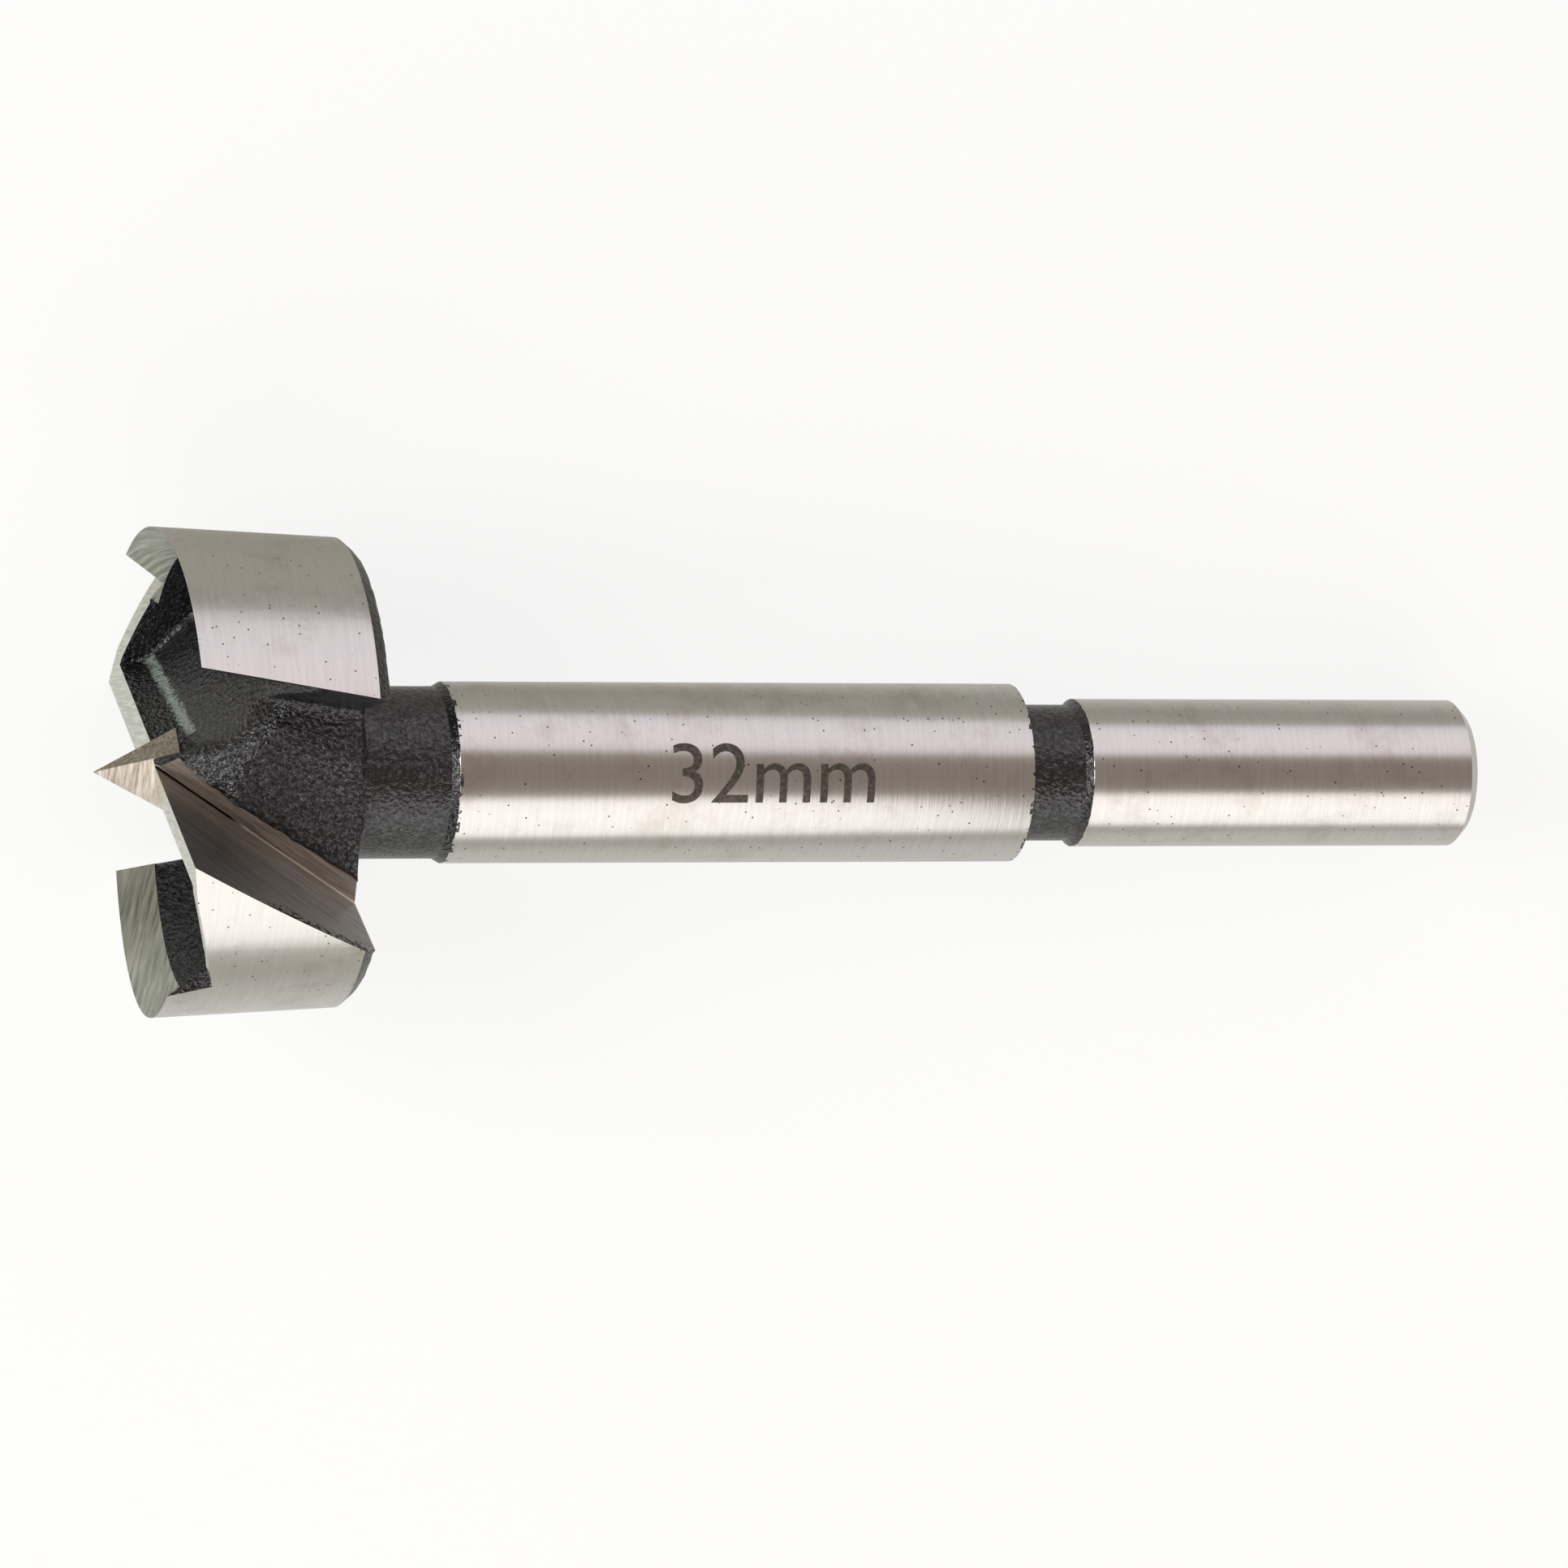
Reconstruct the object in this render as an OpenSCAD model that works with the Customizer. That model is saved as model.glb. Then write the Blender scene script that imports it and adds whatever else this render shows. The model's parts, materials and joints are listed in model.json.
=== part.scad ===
// Boring bit with a rim-guided head: shank, body and cutting head in one piece of steel.
// It is forged, turned and ground, and lies on its side with the tip towards -X.
// All sizes are in millimetres and all angles in degrees.

/* [Shank] */
// Diameter of the shank that a chuck grips
shank_d = 10; // [8:0.1:11]
// Length of the shank, end chamfer included
shank_l = 28.1; // [20:0.1:50]
// Width of the chamfer round the shank's free end
shank_chamfer = 0.65; // [0.2:0.05:1.5]
// Width of the small bevel on the shank's lip at the groove
shank_lip = 0.3; // [0.05:0.05:0.4]

/* [Body] */
// Diameter of the turned groove between shank and body
groove_d = 9.2; // [7:0.1:9.2]
// Length of the groove
groove_l = 4.2; // [2:0.1:8]
// Diameter of the ground body
body_d = 12; // [11.6:0.1:13]
// Length of the body
body_l = 39.4; // [20:0.1:80]
// Diameter of the unground neck behind the head
neck_d = 11.4; // [10:0.1:11.4]
// Length of the neck
neck_l = 6.4; // [4:0.1:15]
// Length of the flare where the neck meets the body
neck_flare = 0.5; // [0.2:0.1:1.5]

/* [Head] */
// Diameter over the rim, which is the size of the hole it bores
head_d = 32; // [30:0.5:36]
// Height of the head from the rim's edge to its flat back
head_h = 12.8; // [12:0.1:15]
// Back taper of the head's outer wall
head_taper = 2.7; // [0:0.1:4]
// Height of the chamfer round the back of the head
back_chamfer_h = 0.95; // [0.3:0.05:2]
// Width of the chamfer round the back of the head
back_chamfer_w = 0.8; // [0.3:0.05:2]

/* [Cutters] */
// Width of the land behind each cutting edge
land_w = 1.9; // [1.2:0.1:2.6]
// Angle at which the ground flank starts to fall away behind the edge
relief_angle = 8.5; // [4:0.5:12]
// Distance behind the edge at which the flank turns steeper
relief_w = 2.5; // [2:0.1:4]
// Angle of the steeper part of the flank
clearance_angle = 15.6; // [13:0.1:22]
// Hook angle of the ground rake face
rake_angle = 29.7; // [20:0.1:35]
// Distance from the axis to the ground step beside the rake face
step_x = 1.2; // [0.8:0.1:2]
// Angle of that step to the axis
step_angle = 22; // [15:0.5:28]
// Height of the ground step above the rake face
step_h = 0.85; // [0.5:0.05:1.5]
// Height of the cutting edges above the rim plane
edge_lift = 0.13; // [0:0.01:0.3]

/* [Rim] */
// Arc from a cutting edge back to the leading end of its rim
notch_arc = 37.7; // [30:0.1:45]
// Lean of the rim's leading end towards the cutter
notch_lean = 21; // [0:1:30]
// Highest point of the rim's edge above the rim plane
rim_lift = 0.4; // [0.2:0.05:0.6]
// Fall of the rim's edge from its leading to its trailing end
rim_relief = 0.7; // [0.2:0.05:1.5]
// Thickness of the rim's wall
rim_wall = 1.6; // [1.2:0.1:2.4]
// Angle of the bevel ground on the inside of the rim, to the axis
rim_bevel = 33; // [25:1:40]

/* [Gullets and pockets] */
// Angle from a cutting edge to the wall that ends its chip gullet
wall_turn = 29.4; // [24:0.1:34]
// Distance from the axis to that wall at the rim plane
wall_offset = 5.7; // [4.5:0.05:7]
// Lean of that wall into the gullet
wall_lean = 9.6; // [0:0.1:15]
// Angle from a cutting edge to the way its gullet faces
gullet_turn = 25.7; // [20:0.1:32]
// Distance from the axis to the gullet's flat floor
web_half = 6.2; // [5.8:0.1:7.5]
// Turn of the floor's slanting side towards the cutter
slant_turn = 14.6; // [5:0.1:25]
// Lean of that slanting side
slant_lean = 6.3; // [0:0.1:12]
// Half angle of the cone at the core of the head
core_angle = 38.7; // [32:0.1:42]
// Height of that cone's apex above the rim plane
core_apex = 1.85; // [1:0.05:2.5]
// Height lost from that apex where the centre point stands
core_blunt = 0.9; // [0.5:0.1:1.5]
// Depth below the rim plane at which the pocket's sloping floor would meet the axis
pocket_rise = 1.5; // [1:0.1:2.5]
// Slope of that floor
pocket_slope = 36; // [25:0.5:40]
// Direction in which the floor falls, from the opposite cutting edge
pocket_turn = 87; // [70:0.5:90]
// Depth of the pocket's flat bottom below the rim plane
pocket_depth = 8.6; // [7:0.1:9.5]
// Distance from the axis to the scooped side of the core at the rim plane
scoop_offset = 0.9; // [0.5:0.1:1.5]
// Lean of that scooped side
scoop_lean = 15.6; // [10:0.1:20]
// Lean of the cutter's forged back
back_lean = 20; // [10:1:35]

/* [Centre point] */
// Height of the centre point above the rim plane
point_h = 3.95; // [3:0.05:5]
// Long half width of the point at the rim plane
point_long = 2.1; // [1.5:0.1:2.5]
// Short half width of the point at the rim plane
point_short = 1.45; // [1:0.05:1.8]
// Direction of the point's long corners from a cutting edge
point_long_turn = 115.7; // [100:0.1:130]
// Direction of the point's short corners from a cutting edge
point_short_turn = 64.7; // [50:0.1:80]

/* [Hidden] */
$fn = 96;

// Heights along the axis, measured from the rim plane and positive towards the tip
back_z = -head_h;
chamfer_z = back_z + back_chamfer_h;
body_z = back_z - neck_l;
groove_z = body_z - body_l;
shank_z = groove_z - groove_l;
end_z = shank_z - shank_l;

// Radii of the head's outer wall
head_r = head_d / 2;
chamfer_r = wall_radius(chamfer_z);
back_r = chamfer_r - back_chamfer_w;
bore_r = head_r - rim_wall;
land_half = land_w / 2;

// Size of the blocks that cut the head's flat faces
reach = 3 * head_d;

// The two points of the head and the shank's chamfered end carry the bit when it lies down
wall_corner_z = chamfer_z;
wall_corner_r = chamfer_r;
wall_corner_turn = wall_turn + asin((wall_offset + wall_corner_z * tan(wall_lean)) / wall_corner_r);
edge_corner_z = edge_lift;
edge_corner_r = wall_radius(edge_lift);
edge_corner_turn = asin(land_half / edge_corner_r);
end_ring_z = end_z + shank_chamfer;
end_ring_r = shank_d / 2;
end_face_r = end_ring_r - shank_chamfer;

// Each corner's height over the floor is one equation in spin and tilt. Their ratio leaves the spin.
wall_span = wall_corner_z - end_ring_z;
edge_span = edge_corner_z - end_ring_z;
spin_cos = edge_span * wall_corner_r * cos(wall_corner_turn)
    - wall_span * edge_corner_r * cos(edge_corner_turn);
spin_sin = wall_span * edge_corner_r * sin(edge_corner_turn)
    - edge_span * wall_corner_r * sin(wall_corner_turn);
spin_sum = (edge_span - wall_span) * end_ring_r;
rest_spin = atan2(spin_sin, spin_cos) + acos(spin_sum / norm([spin_cos, spin_sin]));
rest_tilt = atan((edge_corner_r * cos(edge_corner_turn + rest_spin) - end_ring_r) / edge_span);
rest_x = ((point_h + end_z) * cos(rest_tilt) - end_face_r * sin(rest_tilt)) / 2;
rest_z = end_ring_r * cos(rest_tilt) - end_ring_z * sin(rest_tilt);

function wall_radius(z) = head_r + z * tan(head_taper);
function facing(turn) = [cos(turn), sin(turn), 0];

// Everything beyond a plane that passes through a point. The plane faces turn, and rise above the level.
module beyond(point, turn, rise) {
    translate(point) rotate([0, -rise, turn]) translate([0, -reach, -reach])
        cube([reach, 2 * reach, 2 * reach]);
}

// Turned outline of the whole bit
module blank() {
    top_z = rim_lift + edge_lift;
    rotate_extrude() polygon([
        [0, end_z],
        [end_face_r, end_z],
        [end_ring_r, end_ring_z],
        [shank_d / 2, shank_z - shank_lip],
        [shank_d / 2 - shank_lip, shank_z],
        [groove_d / 2, shank_z],
        [groove_d / 2, groove_z],
        [body_d / 2, groove_z],
        [body_d / 2, body_z],
        [neck_d / 2, body_z + neck_flare],
        [neck_d / 2, back_z],
        [back_r, back_z],
        [chamfer_r, chamfer_z],
        [wall_radius(top_z), top_z],
        [0, top_z]
    ]);
}

// Forged core between the gullets: a cone with two flat sides and two slanting ones
module core() {
    top_z = core_apex - core_blunt;
    foot_z = back_z - neck_l / 2;
    difference() {
        translate([0, 0, foot_z]) cylinder(
            h = top_z - foot_z,
            r1 = (core_apex - foot_z) * tan(core_angle),
            r2 = core_blunt * tan(core_angle)
        );
        for (half = [0, 180]) rotate(half) {
            beyond(web_half * facing(gullet_turn), gullet_turn, 0);
            beyond(web_half * facing(gullet_turn) + [0, 0, back_z], gullet_turn - slant_turn, slant_lean);
        }
    }
}

// Room of one forged chip gullet ahead of its cutter
module gullet() {
    intersection() {
        beyond([0, land_half + step_h, edge_lift], 90, -rake_angle);
        beyond(wall_offset * facing(wall_turn + 90), wall_turn - 90, wall_lean);
        beyond(core_blunt * facing(gullet_turn), gullet_turn, 0);
        beyond([0, 0, back_z - neck_l / 4], 0, 90);
    }
}

// Ground rake face of one cutter, with the step that the wheel leaves beside it
module rake() {
    difference() {
        intersection() {
            beyond([0, land_half, edge_lift], 90, -rake_angle);
            beyond([step_x, 0, 0], 0, step_angle);
        }
        beyond([0, land_half + 2 * step_h, edge_lift], 90, -rake_angle);
    }
}

// Room of one forged pocket behind the opposite cutter, inside the rim
module pocket() {
    intersection() {
        translate([0, 0, -pocket_depth]) cylinder(h = 2 * head_h, r = bore_r);
        beyond([0, 0, -pocket_rise], pocket_turn, 90 - pocket_slope);
        beyond([0, land_half, -land_w * tan(relief_angle)], 90, back_lean);
        beyond([0, land_half + edge_lift, 0], 90, 0);
    }
}

// Part of that pocket which is scooped out of the core's side
module scoop() {
    intersection() {
        pocket();
        beyond(scoop_offset * facing(gullet_turn + 90), gullet_turn + 90, scoop_lean);
    }
}

// Ground flank behind one cutting edge. It clears its half of the head, but not the rim behind the notch.
module flank() {
    difference() {
        intersection() {
            union() {
                beyond([0, land_half, edge_lift], -90, 90 - relief_angle);
                beyond(
                    [0, land_half - relief_w, edge_lift - relief_w * tan(relief_angle)],
                    -90, 90 - clearance_angle
                );
            }
            beyond([0, 0, 0], -notch_arc / 2, 0);
            beyond([0, land_half + 2 * step_h, 0], -90, 0);
        }
        difference() {
            beyond(head_r * facing(-notch_arc), -90 - notch_arc, -notch_lean);
            translate([0, 0, back_z]) cylinder(h = 2 * head_h, r = bore_r - rim_wall / 2);
        }
    }
}

// Bevel ground on the inside of one rim, tilted to relieve the edge
module bevel() {
    rim_arc = 180 - notch_arc - wall_turn - asin(wall_offset / head_r);
    rim_mid = -notch_arc - rim_arc / 2;
    bevel_h = 2 * rim_wall / tan(rim_bevel);
    drop = atan(rim_relief / (2 * head_r * sin(rim_arc / 2)));
    mid_z = rim_lift - rim_relief / 2;
    wheel_in = 10;
    wheel_out = 12;
    rotate(rim_mid) rotate([drop, 0, 0]) rotate(-rim_arc / 2 - wheel_in) translate([0, 0, mid_z])
        rotate_extrude(angle = wheel_in + rim_arc + wheel_out) polygon([
            [head_r - 2 * rim_wall, -bevel_h],
            [head_r, 0],
            [head_r + rim_wall, rim_wall / tan(rim_bevel)],
            [head_r - 2 * rim_wall, rim_wall / tan(rim_bevel)]
        ]);
}

// Four-sided centre point
module point() {
    base = [
        point_short * facing(point_short_turn),
        point_long * facing(point_long_turn),
        -point_short * facing(point_short_turn),
        -point_long * facing(point_long_turn)
    ];
    depth = 1.5;
    spread = (point_h + depth) / point_h;
    foot = [for (corner = base) spread * corner - [0, 0, depth]];
    polyhedron(
        points = concat(foot, [[0, 0, point_h]]),
        faces = [[0, 4, 1], [1, 4, 2], [2, 4, 3], [3, 4, 0], [0, 1, 2, 3]]
    );
}

// The finished bit, standing on its axis with the tip up
module upright_bit() {
    difference() {
        blank();
        difference() {
            for (half = [0, 180]) rotate(half) {
                gullet();
                pocket();
            }
            core();
        }
        for (half = [0, 180]) rotate(half) {
            scoop();
            rake();
            flank();
            bevel();
        }
    }
    point();
}

module boring_bit() {
    color("silver") translate([rest_x, 0, rest_z]) rotate([0, rest_tilt - 90, 0]) rotate(rest_spin)
        upright_bit();
}

boring_bit();
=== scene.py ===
import json
import math

import bmesh
import bpy
import numpy as np
from mathutils import Matrix, Vector


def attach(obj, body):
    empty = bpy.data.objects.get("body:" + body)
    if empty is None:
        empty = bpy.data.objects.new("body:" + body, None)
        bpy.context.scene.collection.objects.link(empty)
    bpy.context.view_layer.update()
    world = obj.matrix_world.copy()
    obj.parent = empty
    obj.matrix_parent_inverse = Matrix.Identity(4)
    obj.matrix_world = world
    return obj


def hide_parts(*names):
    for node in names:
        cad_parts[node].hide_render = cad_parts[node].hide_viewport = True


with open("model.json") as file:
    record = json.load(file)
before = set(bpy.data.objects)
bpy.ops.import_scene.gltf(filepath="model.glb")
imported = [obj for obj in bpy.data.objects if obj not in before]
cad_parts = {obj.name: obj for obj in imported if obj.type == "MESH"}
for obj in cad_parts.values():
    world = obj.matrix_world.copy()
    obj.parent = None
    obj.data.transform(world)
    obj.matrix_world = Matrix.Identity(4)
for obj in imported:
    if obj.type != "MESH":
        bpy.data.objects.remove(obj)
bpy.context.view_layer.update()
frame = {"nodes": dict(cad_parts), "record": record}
print("frame loaded")

mm = 0.001
micron = 1e-6
hair = 0.01                 # mm, further than rounding moves a point

# The bit's own axis comes from the shank that the record states
bit = {
    "shankMiddle": 76.675,  # mm from the rim plane back to the middle of the shank's grip
    "roll": -18.756,        # degrees that the bit is rolled about its axis as it lies
    "headHeight": 12.8,     # mm from the rim plane to the head's flat back
    "neckLength": 6.4,
    "bodyLength": 39.4,
    "grooveLength": 4.2,
    "shankLength": 28.1,
    "headRadius": 16.0,
    "headTaper": 2.7,       # degrees
    "wallEnd": 0.9,         # mm of the head's back edge that the turned wall doesn't reach
    "neckRadius": 5.7,
    "bodyRadius": 6.0,
    "grooveRadius": 4.6,
    "shankRadius": 5.0,
    "pointHeight": 3.95,
    "reliefAngle": 8.5,     # degrees, as are those below
    "clearanceAngle": 15.6,
    "rakeAngle": 29.7,
    "stepAngle": 22.0,
    "backTurn": 87.0,
    "backRise": 54.0,
    "floorRise": 20.0,
    "backDrop": 1.5,        # mm, as are those below
    "floorDrop": 0.284,
    "landHalf": 0.95,
    "edgeLift": 0.13,
    "stepOut": 1.2,
}

shankMount = next(m for m in frame["record"]["mounts"] if m["name"] == "shank")
shankWay = Vector(shankMount["axis"]).normalized()  # towards the shank's free end
rimCentre = Vector(shankMount["pos_m"]) - shankWay * bit["shankMiddle"] * mm
tilt = math.asin(-shankWay.z)
acrossWay = Vector((0, 1, 0))
upperWay = Vector((math.sin(tilt), 0, math.cos(tilt)))
roll = math.radians(bit["roll"])
edgeWay = math.cos(roll) * upperWay + math.sin(roll) * acrossWay     # along the near cutting edge
cutWay = -math.sin(roll) * upperWay + math.cos(roll) * acrossWay     # the way that edge cuts

bodyStart = bit["headHeight"] + bit["neckLength"]
grooveStart = bodyStart + bit["bodyLength"]
shankStart = grooveStart + bit["grooveLength"]


# Which way a face looks in the bit's own frame: X along the near edge, Y the way it cuts, Z towards the tip
def leaning(turn, rise):
    around = math.radians(turn)
    up = math.radians(rise)
    return np.array((math.cos(around) * math.cos(up), math.sin(around) * math.cos(up), math.sin(up)))


flankWays = [leaning(-90, 90 - bit[name]) for name in ("reliefAngle", "clearanceAngle")]
rakeWay = leaning(90, -bit["rakeAngle"])
stepWay = leaning(0, bit["stepAngle"])
rakePlane = (rakeWay, float(rakeWay @ np.array((0, bit["landHalf"], bit["edgeLift"]))))
stepPlane = (stepWay, float(stepWay @ np.array((bit["stepOut"], 0, 0))))
creaseWay = np.cross(stepWay, rakeWay)      # along the corner between a cutter's rake and the core
# A cutter's back and its pocket's floor, each with a point on it
creasePlanes = [
    (leaning(bit["backTurn"], bit["backRise"]), np.array((0, 0, -bit["backDrop"]))),
    (leaning(90, bit["floorRise"]), np.array((0, bit["landHalf"], -bit["floorDrop"]))),
]


# Colours are written as they look on a screen
def linear(hexColour):
    shades = [int(hexColour[i:i + 2], 16) / 255 for i in (1, 3, 5)]
    return [s / 12.92 if s <= 0.04045 else ((s + 0.055) / 1.055) ** 2.4 for s in shades] + [1.0]


# Adds one node, sets it up and links what is a socket already
def addNode(tree, kind, inputs=None, **settings):
    node = tree.nodes.new(kind)
    for name, value in settings.items():
        setattr(node, name, value)
    for key, value in (inputs or {}).items():
        if isinstance(value, bpy.types.NodeSocket):
            tree.links.new(value, node.inputs[key])
        else:
            node.inputs[key].default_value = value
    return node


def newMaterial(name):
    material = bpy.data.materials.new(name)
    material.use_nodes = True
    material.node_tree.nodes.clear()
    return material, material.node_tree


def endMaterial(tree, shader):
    addNode(tree, "ShaderNodeOutputMaterial", {"Surface": shader.outputs["BSDF"]})


# Object coordinates in millimetres from the rim plane's middle:
# X back along the bit, Y the way the near edge cuts, Z out along that edge
def alongBit(tree):
    turn = Matrix((shankWay, cutWay, edgeWay))
    place = addNode(tree, "ShaderNodeTexCoord")
    return addNode(tree, "ShaderNodeMapping", {
        "Vector": place.outputs["Object"], "Scale": (1 / mm,) * 3,
        "Rotation": turn.to_euler(), "Location": turn @ rimCentre / -mm,
    }).outputs["Vector"]


# The same coordinates with one half of the bit turned onto the other, so that both halves share a pattern.
# They come in the bit's own order: X along the edge, Y the way it cuts, Z towards the tip
def foldedBit(tree, place, foldAxis):
    axes = addNode(tree, "ShaderNodeSeparateXYZ", {"Vector": place})
    half = addNode(tree, "ShaderNodeMath", {0: axes.outputs[foldAxis]}, operation="SIGN")
    edge = addNode(tree, "ShaderNodeMath", {0: axes.outputs["Z"], 1: half.outputs[0]}, operation="MULTIPLY")
    cut = addNode(tree, "ShaderNodeMath", {0: axes.outputs["Y"], 1: half.outputs[0]}, operation="MULTIPLY")
    tip = addNode(tree, "ShaderNodeMath", {0: axes.outputs["X"], 1: -1.0}, operation="MULTIPLY")
    return addNode(tree, "ShaderNodeCombineXYZ", {
        "X": edge.outputs[0], "Y": cut.outputs[0], "Z": tip.outputs[0],
    }).outputs["Vector"]


# How far a point stands off a plane, in millimetres, along the plane's own way
def offPlane(tree, place, way, offset):
    reach = addNode(tree, "ShaderNodeVectorMath", {0: place, 1: tuple(way)}, operation="DOT_PRODUCT")
    gap = addNode(tree, "ShaderNodeMath", {0: reach.outputs["Value"], 1: offset}, operation="SUBTRACT")
    return gap.outputs[0]


# Orange peel that both black coats share
coatPeel = {
    "width": 0.3,           # mm across one bump
    "glint": "#6a686e",      # painted glint, a lighter steel-grey, on the tops of the bumps
    "glintShare": 0.15,
    "glintFrom": 0.56,     # heights in the peel's noise, from 0 to 1, as are those below
    "glintTo": 0.72,
    "gleamFrom": 0.4,
    "gleamTo": 0.62,
}


# The peel's height, where glints are painted on its bumps, and how much it gleams between its hollows and
# its bumps
def addPeel(tree, place, gleams):
    peel = addNode(tree, "ShaderNodeTexNoise", {
        "Vector": place, "Scale": 1 / coatPeel["width"], "Detail": 2.0, "Roughness": 0.5,
    })
    paintedHighlight = addNode(tree, "ShaderNodeMapRange", {
        "Value": peel.outputs["Fac"], "To Max": coatPeel["glintShare"],
        "From Min": coatPeel["glintFrom"], "From Max": coatPeel["glintTo"],
    })
    gleam = addNode(tree, "ShaderNodeMapRange", {
        "Value": peel.outputs["Fac"], "To Min": gleams[0], "To Max": gleams[1],
        "From Min": coatPeel["gleamFrom"], "From Max": coatPeel["gleamTo"],
    })
    return peel.outputs["Fac"], paintedHighlight.outputs["Result"], gleam.outputs["Result"]


# Turned and centreless-ground tool steel, with a baked black coat left in the neck and the groove.
# The wheel leaves fine rings that break up the reflections, dirt leaves pits,
# and oil leaves faint brown stains
turnedSteel = {
    "steel": "#cecbc7",
    "steelShade": "#c5c2be",
    "stain": "#9f907f",
    "coat": "#121114",
    "pit": "#4a443d",
    "roughness": 0.25,
    "coatRoughness": 0.26,
    "specular": (0.55, 0.9),    # of the coat, in the hollows of its peel and on its bumps
    "ringWidth": 0.2,       # mm, drawn about twice as wide as the real ones so that they show
    "ringLength": 4.0,      # mm
    "ringRange": (0.3, 0.7),    # noise values, from 0 to 1, as in the other ranges
    "ringDepth": 8.0,       # micrometres on the body
    "headRings": 0.15,      # share of that on the head, which is ground finer
    "stainWidth": 4.0,      # mm
    "stainShare": 0.4,
    "stainRange": (0.52, 0.72),
    "pitSpacing": 0.75,     # mm
    "pitWidth": 0.16,       # mm
    "pitFloor": 0.6,        # share of that which is dark all through
    "peelDepth": 140.0,     # micrometres
    "edgeDrop": 0.01,       # mm below the ground cylinders at which the coat ends
    "edgeWander": 0.08,     # mm that its edge strays
    "edgeStep": 0.7,        # mm along that edge
    "spill": 0.2,           # mm that the coat may reach past the neck and the groove
    "lip": 0.32,            # mm that it covers of the shank's front corner
}


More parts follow.
